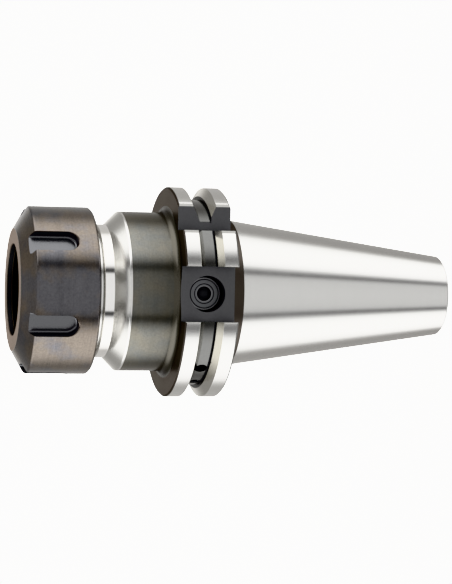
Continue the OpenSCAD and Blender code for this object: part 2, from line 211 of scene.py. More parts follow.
class FinishColours(bpy.types.PropertyGroup):
    """Colours of the finishes and of the studio floor."""

    ground: colour("Ground steel", "Taper, lands and cone", (0.62, 0.615, 0.6))
    polished: colour("Polished steel", "Neck", (0.82, 0.81, 0.79))
    back: colour("Nut's rear face", "Rear face of the nut", (0.62, 0.61, 0.59))
    turned: colour("Turned steel", "Cone between body and neck", (0.68, 0.675, 0.65))
    dull: colour("Dull steel", "Edges of slots, notch and flange", (0.24, 0.237, 0.228))
    slate_slot: colour("Slot slate", "Spanner slots", (0.112, 0.113, 0.118))
    rim: colour("Screw rim", "Edges of the slot screw", (0.175, 0.175, 0.18))
    flank: colour("Flank steel", "Flanks of the gripper groove", (0.54, 0.53, 0.495))
    floor: colour("Groove floor", "Floor of the gripper groove", (0.122, 0.122, 0.118))
    olive: colour("Olive tint", "Warm patches on the body", (0.157, 0.149, 0.127))
    teal: colour("Teal tint", "Cool patches on the body", (0.137, 0.138, 0.129))
    # Bronze and slate lie in random patches, and also as a painted reflection tint: bronze where the
    # softboxes reflect, slate where the panel does
    bronze: colour("Bronze tint", "Warm patches on the nut", (0.157, 0.136, 0.117))
    slate: colour("Slate tint", "Cool patches on the nut", (0.122, 0.12, 0.127))
    ring: colour("Ring tint", "Flat ring on the nut's front", (0.2, 0.17, 0.15))
    face: colour("Dark face", "Faces, chamfers and fillets of the flange", (0.07, 0.062, 0.055))
    milled: colour("Milled black", "Slots and notch", (0.122, 0.122, 0.126))
    # Near black for every bore, hole, socket and crease: painted shade
    bore: colour("Bore black", "Inside of every bore", (0.04, 0.04, 0.042))
    screw: colour("Screw black", "Both screws", (0.142, 0.144, 0.149))
    spring: colour("Spring steel", "Circlip", (0.3, 0.29, 0.27))
    pale: colour("Pale floor", "Studio floor", (0.86, 0.86, 0.85))


class StudioSizes(bpy.types.PropertyGroup):
    """Camera, lights and floor."""

    focal: number("Lens", "Focal length of the camera in millimetres", 114.56)
    distance: length("Distance", "From the camera to the middle of the groove", 565.51)
    look_down: turn("Look down", "How far the camera looks down", 14.228)
    azimuth: turn("Azimuth", "Direction of the camera from the near drive slot", 1.12)
    roll: turn("Roll", "Turn of the picture about the line of sight", 0.817)
    aim_x: number("Aim across", "Pixel of the groove's middle, from the left", 189.058)
    aim_y: number("Aim down", "Pixel of the groove's middle, from the top", 292.069)
    softbox: number("Softbox", "Brightness of the two large softboxes", 2.9)
    panel: number("Panel", "Brightness of the panel around the camera", 1.01)
    slit: number("Slit", "Brightness of the dark slits beside the panel", 0.1)
    light_turn: turn("Light direction", "Direction of the panel from the near drive slot", -0.8)
    front_width: number("Panel width", "Width of the panel over its distance", 0.74)
    top_width: number("Top width", "Width of the panel overhead, over its distance", 0.42)
    rear_start: turn("Rear start", "Direction where the softboxes begin to fade, low down", 87)
    rear_end: turn("Rear end", "Direction where they have faded, low down", 121)
    rear_lean: turn("Rear lean", "How much farther back the softboxes reach high up", 18)
    back_start: turn("Back start", "Direction where the bright wall behind begins", 158)
    back_end: turn("Back end", "Direction where that wall is at its full brightness", 172)
    backdrop: number("Backdrop", "Brightness of floor and backdrop to the camera", 3)
    floor_r: length("Floor radius", "Radius of the floor", 4000)


PICTURE = (452, 584)  # Pixels of the photograph
SENSOR = 36.0  # Width of the camera's sensor in millimetres
CLIP = (0.01, 20)  # Nearest and farthest distance that the camera sees
COLUMNS = 180  # Columns of faces around a large turned piece
BORE_COLUMNS = 64  # Columns of faces around a screw or a small hole
ARC_STEP = radians(18)  # Largest bend between two points of a rounding
STRAIGHT = radians(1)  # A corner that bends less than this isn't rounded
REACH_SHARE = 0.49  # Share of a side that one rounding may take
SHARP = radians(26)  # Edges that bend more than this are shaded sharp
SAME = MM / 1000  # Places closer than this are the same
OVERRUN = 2 * MM  # How far a cutter runs past what it cuts
TAPER_LOSS = 7 * MM  # Diameter that the taper loses over its taper run
NOSE_ROWS, STUD_ROWS = 8, 5  # Rows of points for each turn of the nose thread and of the pull stud's thread
THREAD_FLANKS = 0.75  # Share of the pitch that a thread's flanks take
SLOT_ARC = 24  # Sides of the round end of a spanner slot
FLOOR_ARC = 4  # Sides of the radius around a spanner slot's floor
SOFT = 3  # Rounding of the ring's and shank's edges, over the edge break
PIT_SHARE = 0.42  # Radius of the drilled pit over the hexagon's width
COARSE = 0.13  # Scale of the coarse turning rings over the fine ones
FLANGE_SHADE = (90.0, 101.0)  # Heights in millimetres between which the body brightens toward the cone, out of a painted shade beside the flange
FLOOR_SIDES = 96  # Sides of the round floor
MIX_INPUTS, MIX_OUTPUT = (0, 6, 7), 2  # Sockets of a Mix node that mixes colours
REFLECTION_LOBES_PER_TURN = 4.0  # How often the nut's painted reflection tint turns cool and warm in a turn: cool where the panel reflects, warm where the softboxes reflect
MIN_REACH = 0.05  # Least width of the panel, so that it never vanishes
# Light from the middle of the panel outward: place over BAND_SPAN, which light, share of its brightness
BANDS = (
    (0.0, "panel", 1.0),
    (0.207, "panel", 0.97),
    (0.233, "slit", 1.0),
    (0.28, "slit", 1.0),
    (0.32, "softbox", 0.27),
    (0.44, "softbox", 0.72),
    (0.6, "softbox", 1.0),
    (1.0, "softbox", 1.0),
)
BAND_SPAN = 4.0
LEAN_RANGE = (-0.36, 0.4)  # Heights of a ray between which the softboxes lean back
# Brightness of the surround at the rear, and of the wall behind: height from floor to ceiling, value
REAR = ((0.0, 0.5), (0.33, 0.52), (0.42, 0.68), (0.5, 0.62), (0.66, 0.42), (0.85, 0.5), (1.0, 0.75))
BACK = ((0.0, 0.45), (0.46, 0.6), (0.5, 1.05), (0.56, 1.2), (0.63, 1.1), (0.8, 0.75), (1.0, 0.75))
WARM = (1.0, 0.98, 0.95)


def sizes():
    """The property groups of the scene, as holder, nut, screw, finish and studio."""
    scene = bpy.context.scene
    return scene.holder_sizes, scene.nut_sizes, scene.screw_sizes, scene.finish_colours, scene.studio_sizes


def direction(angle):
    """Unit vector at an angle about the axis, measured from the near drive slot."""
    return Vector((sin(angle), -cos(angle), 0.0))


def rounded(corners):
    """Outline through corners (radius, height, rounding, finish), with each corner rounded.

    Returns the points, and for each point the finish of the stretch that follows it. The finish of a corner
    belongs to the stretch after it. A rounding takes the finish of the stretch before it, or the one that
    stands last in its corner.
    """
    points, finishes = [], []
    count = len(corners)
    for i, (x, z, r, finish, *own) in enumerate(corners):
        here = Vector((x, z))
        before = Vector(corners[i - 1][:2]) - here
        after = Vector(corners[(i + 1) % count][:2]) - here
        between = before.angle(after)
        if r <= 0 or between > pi - STRAIGHT:
            points.append(here)
            finishes.append(finish)
            continue
        reach = min(r / tan(between / 2), before.length * REACH_SHARE, after.length * REACH_SHARE)
        r = reach * tan(between / 2)
        start = here + before.normalized() * reach
        centre = here + (before.normalized() + after.normalized()).normalized() * r / sin(between / 2)
        spoke = start - centre
        bend = pi - between
        side = 1 if before.x * after.y - before.y * after.x < 0 else -1
        steps = max(2, ceil(bend / ARC_STEP))
        for k in range(steps + 1):
            a = side * bend * k / steps
            c, d = cos(a), sin(a)
            points.append(centre + Vector((spoke.x * c - spoke.y * d, spoke.x * d + spoke.y * c)))
            finishes.append(finish if k == steps else (own or corners[i - 1][3:])[0])
    return points, finishes


def finished(name, work, kinds):
    """The object of a bmesh, with its faces turned outward and a slot for each kind of finish."""
    bmesh.ops.recalc_face_normals(work, faces=work.faces)
    mesh = bpy.data.meshes.new(name)
    work.to_mesh(mesh)
    work.free()
    for kind in kinds:
        mesh.materials.append(finish_of(kind))
    piece = bpy.data.objects.new(name, mesh)
    bpy.context.scene.collection.objects.link(piece)
    return piece


def turned(name, corners, relief=None, columns=COLUMNS):
    """Piece turned about Z from a closed outline of corners, which name their finishes.

    relief(radii, heights, turns) may shift the radii.
    """
    points, stretch = rounded(corners)
    kinds = list(dict.fromkeys(kind for corner in corners for kind in corner[3:]))
    radii = np.array([p.x for p in points])[:, None]
    heights = np.array([p.y for p in points])[:, None]
    turns = np.linspace(0, 2 * pi, columns, endpoint=False)[None, :]
    across = np.repeat(radii, columns, 1)
    if relief:
        across = across + relief(radii, heights, turns)
    grid = np.stack([across * np.cos(turns), across * np.sin(turns), np.repeat(heights, columns, 1)], -1)
    work = bmesh.new()
    rows = []
    for i, row in enumerate(grid):
        if radii[i, 0] < SAME:
            rows.append([work.verts.new(row[0])] * columns)
        else:
            rows.append([work.verts.new(p) for p in row])
    for i, row in enumerate(rows):
        following = rows[(i + 1) % len(rows)]
        for j in range(columns):
            k = (j + 1) % columns
            ring = list(dict.fromkeys((row[j], row[k], following[k], following[j])))
            if len(ring) > 2:
                work.faces.new(ring).material_index = kinds.index(stretch[i])
    return finished(name, work, kinds)


def prism(name, levels, finish, edges=None, edge_sides=()):
    """Cutter through levels of (height, flat outline), each outline with as many corners as the others.

    Sides are numbered as (level, corner). Those in edge_sides take the finish named edges.
    """
    work = bmesh.new()
    rows = [[work.verts.new((x, y, z)) for x, y in outline] for z, outline in levels]
    work.faces.new(rows[0])
    work.faces.new(rows[-1])
    for level, (low, high) in enumerate(zip(rows, rows[1:])):
        for i in range(len(low)):
            j = (i + 1) % len(low)
            side = work.faces.new((low[i], low[j], high[j], high[i]))
            side.material_index = 1 if (level, i) in edge_sides else 0
    return finished(name, work, [finish, edges] if edges else [finish])


def place(piece, matrix):
    """Moves the mesh of a piece, so that its object stays at the origin."""
    piece.data.transform(matrix)
    return piece


def outward(angle, distance, height):
    """Matrix that stands Z along the direction of angle, with its origin at that distance from the axis."""
    out = direction(angle)
    across = Vector((0, 0, 1)).cross(out)
    basis = Matrix((across, out.cross(across), out)).transposed().to_4x4()
    return Matrix.Translation(out * distance + Vector((0, 0, height))) @ basis


def carve(piece, cutters):
    """Cuts the cutters out of a piece, keeps their finishes on the cut faces and removes them."""
    for cutter in cutters:
        cut = piece.modifiers.new(cutter.name, "BOOLEAN")
        cut.object = cutter
        cut.solver = "EXACT"
        cut.material_mode = "TRANSFER"
    settle(piece)
    for cutter in cutters:
        bpy.data.objects.remove(cutter)
    return piece


def settle(piece):
    """Applies the modifiers of a piece to its mesh."""
    bpy.context.view_layer.update()
    graph = bpy.context.evaluated_depsgraph_get()
    piece.data = bpy.data.meshes.new_from_object(piece.evaluated_get(graph))
    piece.modifiers.clear()


def smooth(piece):
    """Shades a piece smooth, with its true edges kept sharp and its flats kept flat."""
    mesh = piece.data
    mesh.polygons.foreach_set("use_smooth", [True] * len(mesh.polygons))
    mesh.set_sharp_from_angle(angle=SHARP)
    weighted = piece.modifiers.new("flats", "WEIGHTED_NORMAL")
    weighted.keep_sharp = True
    settle(piece)
    return piece


def thread(heights, turns, pitch):
    """Height of a thread's flanks, from -1 at the root to 1 at the crest."""
    phase = heights / pitch - turns / (2 * pi)
    wave = 1 - 4 * np.abs(phase - np.floor(phase) - 0.5)
    return np.clip(wave / THREAD_FLANKS, -1, 1)


def rows_between(low, high, pitch, per_turn):
    """Heights strictly between low and high, close enough for a thread of that pitch."""
    count = ceil((high - low) / pitch * per_turn)
    return [low + (high - low) * (i + 1) / (count + 1) for i in range(count)]


def is_at(radii, radius):
    """1 where a radius is the given one, else 0."""
    return np.abs(radii - radius) < SAME


def fade(heights, low, high, over):
    """1 between low and high, falling to 0 at both ends over a length."""
    return np.clip(np.minimum(heights - low, high - heights) / over, 0, 1)


class Tree:
    """Adds nodes to a node tree and links them."""

    def __init__(self, tree):
        self.tree = tree

    def add(self, kind, options=None, **inputs):
        """A node with its options and inputs set. An input whose value is an output socket is linked.

        An underscore stands for a space in an input's name, and i0, i1 and so on are inputs by number.
        """
        node = self.tree.nodes.new(kind)
        for key, value in (options or {}).items():
            setattr(node, key, value)
        for key, value in inputs.items():
            name = key.replace("_", " ")
            socket = node.inputs[int(key[1:])] if key[0] == "i" and key[1:].isdigit() else node.inputs[name]
            if isinstance(value, bpy.types.NodeSocket):
                self.tree.links.new(value, socket)
            else:
                socket.default_value = value
        return node

    def link(self, output, socket):
        """Links an output to an input socket."""
        self.tree.links.new(output, socket)

    def maths(self, operation, *values):
        """The result of a Math node."""
        inputs = {f"i{i}": v for i, v in enumerate(values)}
        return self.add("ShaderNodeMath", {"operation": operation}, **inputs).outputs[0]

    def noise(self, place, scale, detail, roughness):
        """The value of a Noise Texture node."""
        options = {"Vector": place, "Scale": scale, "Detail": detail, "Roughness": roughness}
        return self.add("ShaderNodeTexNoise", None, **options).outputs["Fac"]

    def ramp(self, value, stops, mode="LINEAR"):
        """Colour ramp through stops (place, colour)."""
        node = self.add("ShaderNodeValToRGB", None, Fac=value)
        node.color_ramp.interpolation = mode
        elements = node.color_ramp.elements
        while len(elements) < len(stops):
            elements.new(0.5)
        for element, (at, tone) in zip(elements, stops):
            element.position = at
            element.color = (*tone, 1)
        return node.outputs["Color"]

    def mix(self, factor, a, b, blend="MIX"):
        """A colour between a and b. MIX_INPUTS are the node's factor and colours, MIX_OUTPUT its colour."""
        node = self.add("ShaderNodeMix", {"data_type": "RGBA", "blend_type": blend})
        for socket, value in zip([node.inputs[i] for i in MIX_INPUTS], (factor, a, b)):
            if isinstance(value, bpy.types.NodeSocket):
                self.tree.links.new(value, socket)
            else:
                socket.default_value = value if isinstance(value, (int, float)) else (*value, 1)
        return node.outputs[MIX_OUTPUT]


def new_group(name, inputs, outputs):
    """An empty shader node group with its sockets, its Tree, and its input and output nodes."""
    group = bpy.data.node_groups.new(name, "ShaderNodeTree")
    for label, value in inputs:
        socket = group.interface.new_socket(label, in_out="INPUT", socket_type="NodeSocketFloat")
        socket.default_value = value
    for label in outputs:
        group.interface.new_socket(label, in_out="OUTPUT", socket_type="NodeSocketFloat")
    tree = Tree(group)
    return group, tree, tree.add("NodeGroupInput").outputs, tree.add("NodeGroupOutput").inputs


def turning_marks():
    """Group: fine rings left by turning or grinding, the same all the way round."""
    inputs = [("Pitch", 0.2 * MM), ("Waver", 0.3)]
    group, tree, given, out = new_group("turning_marks", inputs, ["Height", "Tone"])
    place = tree.add("ShaderNodeTexCoord").outputs["Object"]
    point = tree.add("ShaderNodeSeparateXYZ", None, Vector=place).outputs
    squares = [tree.maths("POWER", point[i], 2.0) for i in (0, 1)]
    radius = tree.maths("SQRT", tree.maths("ADD", *squares))
    ring = tree.maths("DIVIDE", radius, given["Pitch"])
    along = tree.maths("DIVIDE", point[2], given["Pitch"])
    around = tree.maths("MULTIPLY", tree.maths("ARCTAN2", point[1], point[0]), given["Waver"])
    track = tree.add("ShaderNodeCombineXYZ", None, X=ring, Y=along, Z=around).outputs[0]
    fine = tree.noise(track, scale=1.0, detail=2.0, roughness=0.5)
    scales = (COARSE, COARSE, 1.0)
    wide = tree.add("ShaderNodeVectorMath", {"operation": "MULTIPLY"}, i0=track, i1=scales).outputs[0]
    coarse = tree.noise(wide, scale=1.0, detail=3.0, roughness=0.5)
    tree.link(fine, out["Height"])
    tree.link(tree.maths("MULTIPLY", tree.maths("ADD", fine, coarse), 0.5), out["Tone"])
    return group


def patina_and_painted_light():
    """Group: soft patches and small flecks of a heat blackened surface, a painted reflection tint in lobes
    around the axis, and a painted shade that fades along the axis.
    """
    inputs = [("Patch", 9 * MM), ("Fleck", 0.6 * MM), ("Lobes", 0.0)]
    inputs += [("Fade Low", 0.0), ("Fade High", MM), ("Fade To", 1.0)]
    group, tree, given, out = new_group("patina_and_painted_light", inputs, ["Patch", "Fleck", "Fade"])
    place = tree.add("ShaderNodeTexCoord").outputs["Object"]
    point = tree.add("ShaderNodeSeparateXYZ", None, Vector=place).outputs
    turned_by = tree.maths("ARCTAN2", point[1], point[0])
    # Lobes around the axis: a painted reflection tint, cool where the panel reflects and warm where the
    # softboxes reflect
    reflection_lobes = tree.maths("COSINE", tree.maths("MULTIPLY", turned_by, REFLECTION_LOBES_PER_TURN))
    patch = tree.noise(place, tree.maths("DIVIDE", 1.0, given["Patch"]), detail=4.0, roughness=0.55)
    fleck = tree.noise(place, tree.maths("DIVIDE", 1.0, given["Fleck"]), detail=2.0, roughness=0.6)
    lobes = tree.maths("MULTIPLY", reflection_lobes, given["Lobes"])
    tree.link(tree.maths("SUBTRACT", patch, lobes), out["Patch"])
    tree.link(fleck, out["Fleck"])
    # Brightness along the axis, falling toward the lower heights: a painted shade
    limits = {"From_Min": given["Fade Low"], "From_Max": given["Fade High"], "To_Min": given["Fade To"]}
    tree.link(tree.add("ShaderNodeMapRange", None, Value=point[2], **limits).outputs[0], out["Fade"])
    return group


def effect(name):
    """A shared node group, built when it is first asked for."""
    return bpy.data.node_groups.get(name) or {"turning_marks": turning_marks, "patina_and_painted_light": patina_and_painted_light}[name]()


def steel(name, base, tint, rough, tone=0.1, rough_spread=0.06, pitch=0.2, waver=0.3, patch=9.0, fleck=0.6,
          contrast=0.5, bump=0.01, lobes=0.0, edge=(1.0, 1.0, 1.0), fade_to=1.0, painted_shade_over=(0.0, 1.0)):
    """Steel finish with patches of a tint, fine rings, and a roughness that varies with both.

    Lengths are in millimetres. The lobe setting moves the tint toward the eighths of a turn, a painted
    reflection tint:
    warm where the softboxes reflect, cool where the panel reflects. edge tints the gloss at a glancing angle,
    and the shade settings give a painted shade: the brightness at the lower end of a span of heights.
    """
    material = bpy.data.materials.new(name)
    material.use_nodes = True
    tree = Tree(material.node_tree)
    shader = material.node_tree.nodes["Principled BSDF"]
    shader.inputs["Metallic"].default_value = 1.0
    shader.inputs["Specular Tint"].default_value = (*edge, 1)
    marks = {"Pitch": pitch * MM, "Waver": waver}
    lines = tree.add("ShaderNodeGroup", {"node_tree": effect("turning_marks")}, **marks).outputs
    low, high = painted_shade_over
    stains = {"Patch": patch * MM, "Fleck": fleck * MM, "Lobes": lobes}
    stains.update({"Fade_Low": low * MM, "Fade_High": high * MM, "Fade_To": fade_to})
    spots = tree.add("ShaderNodeGroup", {"node_tree": effect("patina_and_painted_light")}, **stains).outputs
    limits = {"From_Min": 0.5 - contrast / 2, "From_Max": 0.5 + contrast / 2}
    spread = tree.add("ShaderNodeMapRange", None, Value=spots["Patch"], **limits).outputs[0]
    grain = tree.maths("MULTIPLY", tree.maths("ADD", lines["Tone"], spots["Fleck"]), tone)
    # The fade darkens the colour: a painted shade where a finish asks for it
    shade = tree.maths("MULTIPLY", tree.maths("ADD", grain, 1.0 - tone), spots["Fade"])
    value = tree.add("ShaderNodeCombineColor", None, Red=shade, Green=shade, Blue=shade).outputs[0]
    tree.link(tree.mix(1.0, tree.mix(spread, base, tint), value, "MULTIPLY"), shader.inputs["Base Color"])
    wear = tree.maths("MULTIPLY", tree.maths("ADD", lines["Tone"], spots["Patch"]), rough_spread)
    tree.link(tree.maths("ADD", wear, rough - rough_spread), shader.inputs["Roughness"])
    marks = {"Height": lines["Height"], "Distance": bump * MM, "Strength": 1.0}
    tree.link(tree.add("ShaderNodeBump", None, **marks).outputs[0], shader.inputs["Normal"])
    return material


# Each finish: its colour, the colour of its patches, its roughness, and where it differs from usual steel
FINISHES = {
    "ground_steel": ("ground", "ground", 0.2, {"tone": 0.05, "rough_spread": 0.03, "bump": 0.002}),
    "polished_steel": ("polished", "polished", 0.1, {"tone": 0.05, "rough_spread": 0.02, "bump": 0.001}),
    "turned_steel": ("turned", "turned", 0.17, {"tone": 0.06, "rough_spread": 0.03, "bump": 0.004}),
    "nut_back": ("back", "back", 0.21, {"tone": 0.06, "rough_spread": 0.03}),
    "flank_steel": ("flank", "flank", 0.17, {"tone": 0.06}),
    "floor_steel": ("floor", "floor", 0.2, {"tone": 0.14}),
    "dull_steel": ("dull", "dull", 0.35, {"tone": 0.12}),
    # The body and its fillet take a painted shade that darkens them toward the flange
    "blackened_steel": ("olive", "teal", 0.22, {
        "tone": 0.36, "pitch": 0.3, "patch": 6.0, "contrast": 0.3, "edge": (0.87, 0.86, 0.85),
        "fade_to": 0.64, "painted_shade_over": FLANGE_SHADE,
    }),
    "fillet_black": ("olive", "olive", 0.26, {
        "edge": (0.58, 0.58, 0.59), "fade_to": 0.6, "painted_shade_over": FLANGE_SHADE,
    }),
    # The nut's tint follows the lights: a painted reflection tint, bronze where the softboxes reflect and
    # slate where the panel does
    "blued_nut": ("slate", "bronze", 0.22, {
        "tone": 0.5, "pitch": 0.35, "waver": 0.6, "patch": 9.0, "contrast": 0.2, "lobes": 0.1,
    }),
    "slot_slate": ("slate_slot", "slate_slot", 0.24, {"tone": 0.1, "pitch": 0.6}),
    "nut_ring": ("ring", "ring", 0.33, {"tone": 0.12, "edge": (0.73, 0.66, 0.61)}),
    "dark_face": ("face", "face", 0.36, {"tone": 0.14, "edge": (0.62, 0.6, 0.58)}),
    "milled_black": ("milled", "milled", 0.5, {"tone": 0.12, "pitch": 0.6, "waver": 2.0}),
    # Near black inside bores, holes, sockets and creases: painted shade
    "painted_shade_black": ("bore", "bore", 0.45, {"tone": 0.1}),
    "screw_black": ("screw", "screw", 0.4, {"tone": 0.12}),
    "screw_rim": ("rim", "rim", 0.35, {"tone": 0.12}),
    "circlip_steel": ("spring", "spring", 0.3, {}),
}


def finish_of(kind):
    """The material of a finish, by its name."""
    if kind in bpy.data.materials:
        return bpy.data.materials[kind]
    colours = bpy.context.scene.finish_colours
    base, tint, rough, options = FINISHES[kind]
    return steel(kind, getattr(colours, base), getattr(colours, tint), rough, **options)


def dress(piece, body, node):
    """Shades a piece, lets it ride on its body and stand for its CAD node, which it hides."""
    smooth(piece)
    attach(piece, body)
    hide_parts(node)


def slot_cutter(name, holder, floor, side):
    """Cutter for a drive slot on the side of -Y (-1) or +Y (1), with a chamfer along its outer edges."""
    half, far = holder.slot_w / 2, holder.flange_d / 2
    edge = sqrt(far**2 - half**2) - holder.slot_chamfer
    profile = [(-half, floor), (half, floor), (half, edge)]
    profile += [(half + far, edge + far), (-half - far, edge + far), (-half, edge)]
    outline = [(x, side * y) for x, y in profile]
    rear = holder.taper_len + holder.flange_gap
    levels = [(rear - OVERRUN, outline), (rear + holder.flange_w + holder.slot_runout, outline)]
    return prism(name, levels, "milled_black", "dull_steel", {(0, 2), (0, 4)})


def notch_cutter(holder):
    """Cutter for the orientation notch, with a chamfer along its outer edges."""
    off, far = holder.notch_offset, holder.flange_d / 2
    edge = sqrt(far**2 - off**2) - holder.notch_chamfer
    outline = [(off, -off), (edge, -off), (edge + far, far - off)]
    outline += [(edge + far, -edge - far), (off - far, -edge - far), (off, -edge)]
    rear = holder.taper_len + holder.flange_gap
    levels = [(rear - OVERRUN, outline), (rear + holder.flange_w + OVERRUN, outline)]
    return prism("notch", levels, "milled_black", "dull_steel", {(0, 1), (0, 4)})


def heights_of(holder):
    """Places along the axis of the holder, from the small end up."""
    at = {"rear": holder.taper_len + holder.flange_gap}
    at["front"] = at["rear"] + holder.flange_w
    at["groove"] = at["rear"] + holder.groove_offset
    at["cone"] = at["front"] + holder.body_len
    at["neck"] = at["cone"] + (holder.body_d - holder.neck_d) / 2 / tan(holder.body_cone)
    at["relief"] = at["neck"] + holder.neck_len
    at["nose"] = at["relief"] + holder.relief_w
    at["tip"] = at["nose"] + holder.nose_len
    at["seat"] = at["tip"] - holder.seat_len
    at["socket"] = at["seat"] - holder.socket_len
    return at


def holder_outline(holder, nut):
    """Corners of the holder's section: up the outside, and down through its bores."""
    edge = holder.edge_break
    at = heights_of(holder)

    def taper(z):
        return (holder.gauge_d - (holder.taper_len - z) * TAPER_LOSS / holder.taper_run) / 2

    rear, front, groove, relief = at["rear"], at["front"], at["groove"], at["relief"]
    flange = holder.flange_d / 2
    floor = flange - holder.groove_depth
    slope = tan(holder.groove_angle / 2)
    half_floor = holder.groove_w / 2 - holder.groove_depth * slope
    cut = groove - half_floor - holder.undercut_reach
    body, neck, t = holder.body_d / 2, holder.neck_d / 2, holder.thread_d / 2
    edge_start = at["cone"] - holder.body_edge * tan(holder.body_cone / 2)
    seat_small = holder.seat_mouth_d / 2 - holder.seat_len * tan(holder.seat_angle)
    low, high = at["nose"] + nut.thread_chamfer, at["tip"] - nut.thread_chamfer
    threads = rows_between(low, high, nut.pitch, NOSE_ROWS)
    stud = rows_between(holder.pilot_depth, holder.stud_depth, holder.stud_pitch, STUD_ROWS)
    return [
        (holder.pilot_d / 2 + holder.pilot_chamfer, 0, edge, "ground_steel"),
        (taper(0) - holder.small_chamfer, 0, edge, "ground_steel"),
        (taper(holder.small_chamfer), holder.small_chamfer, edge, "ground_steel"),
        (taper(holder.ground_end), holder.ground_end, 0, "dark_face"),
        (taper(rear), rear, holder.rear_fillet, "dark_face"),
        (flange - holder.flange_chamfer, rear, edge, "dull_steel"),
        (flange, rear + holder.flange_chamfer, edge, "ground_steel"),
        (flange, groove - holder.groove_w / 2, edge, "flank_steel"),
        # The undercut, near black: painted shade
        (floor + holder.undercut_reach / slope, cut, 0, "painted_shade_black"),
        (floor - holder.undercut_h, cut, 0, "painted_shade_black"),
        (floor - holder.undercut_h, cut + holder.undercut_w, 0, "painted_shade_black"),
        (floor, cut + holder.undercut_w, 0, "floor_steel"),
        (floor, groove + half_floor, 0, "flank_steel"),
        (flange, groove + holder.groove_w / 2, edge, "ground_steel"),
        (flange, front - holder.flange_chamfer, edge, "dark_face"),
        (flange - holder.flange_chamfer, front, edge, "dark_face"),
        (body, front, holder.front_fillet, "blackened_steel", "fillet_black"),
        (body, edge_start, 0, "ground_steel"),
        (body, at["cone"], holder.body_edge, "turned_steel"),
        (neck, at["neck"], edge, "polished_steel"),
        (neck, relief - holder.relief_chamfer, edge, "polished_steel"),
        (neck - holder.relief_chamfer, relief, edge, "ground_steel"),
        (holder.relief_d / 2, relief, edge, "ground_steel"),
        (holder.relief_d / 2, at["nose"], edge, "dark_face"),
        (t, low, 0, "flank_steel"),
        *[(t, z, 0, "flank_steel") for z in threads],
        (t, high, 0, "flank_steel"),
        (t - nut.thread_chamfer, at["tip"], edge, "ground_steel"),
        (holder.seat_mouth_d / 2, at["tip"], edge, "ground_steel"),
        # The bores, near black: painted shade
        (seat_small, at["seat"], edge, "painted_shade_black"),
        (holder.socket_d / 2, at["seat"], edge, "painted_shade_black"),
        (holder.socket_d / 2, at["socket"], edge, "painted_shade_black"),
        (holder.coolant_d / 2, at["socket"], edge, "painted_shade_black"),
        (holder.coolant_d / 2, holder.stud_depth, edge, "painted_shade_black"),
        (holder.stud_d / 2, holder.stud_depth, 0, "dark_face"),
        *[(holder.stud_d / 2, z, 0, "dark_face") for z in reversed(stud)],
        (holder.stud_d / 2, holder.pilot_depth, 0, "dark_face"),
        (holder.pilot_d / 2, holder.pilot_depth, edge, "dark_face"),
        (holder.pilot_d / 2, holder.pilot_chamfer, edge, "dark_face"),
    ]


def drill(name, radius, low, high, angle, height, point=0.0):
    """Cutter for a round hole along a radius, between two distances from the axis, with a drill point."""
    # Every hole is near black inside: painted shade
    kind = "painted_shade_black"
    corners = [
        (0, -point, 0, kind),
        (radius, 0, 0, kind),
        (radius, high - low, 0, kind),
        (0, high - low, 0, kind),
    ]
    return place(turned(name, corners, columns=BORE_COLUMNS), outward(angle, low, height))


class HOLDER_OT_body(bpy.types.Operator):
    """Builds the holder: taper shank, flange, body and nose, with its slots, notch and holes"""

    bl_idname = "holder.body"
    bl_label = "Holder body"

    def execute(self, context):
        holder, nut, screws, *_ = sizes()
        at = heights_of(holder)
        low, high = at["nose"] + nut.thread_chamfer, at["tip"] - nut.thread_chamfer

        def relief(radii, heights, turns):
            nose = is_at(radii, holder.thread_d / 2) * fade(heights, low, high, nut.pitch)
            stud = fade(heights, holder.pilot_depth, holder.stud_depth, holder.stud_pitch)
            stud = stud * is_at(radii, holder.stud_d / 2)
            return (nose * thread(heights, turns, nut.pitch) * nut.thread_height / 2
                    + stud * (thread(heights, turns, holder.stud_pitch) + 1) * holder.stud_height / 2)

        piece = turned("holder", holder_outline(holder, nut), relief)
        base = holder.near_floor - screws.bore_depth
        screw_z = at["rear"] + screws.offset
        end = base - screws.shank_len - screws.tap_runout
        cutters = [
            slot_cutter("near_slot", holder, holder.near_floor, -1),
            slot_cutter("far_slot", holder, holder.far_floor, 1),
            notch_cutter(holder),
            drill("counterbore", screws.bore_d / 2, base, holder.near_floor + OVERRUN, 0, screw_z),
            drill("shank_hole", screws.shank_d / 2 + screws.clearance, end, base + screws.head_h, 0, screw_z),
        ]
        rim = holder.flange_d / 2
        radius, deep = screws.balance_d / 2, rim - holder.groove_depth - screws.balance_depth
        for name, angle in (("open_hole", screws.open_angle), ("set_screw_hole", screws.set_angle)):
            cutters.append(drill(name, radius, deep, rim, angle, at["groove"], screws.drill_point))
        carve(piece, cutters)
        dress(piece, "holder", "holder_body")
        return {"FINISHED"}


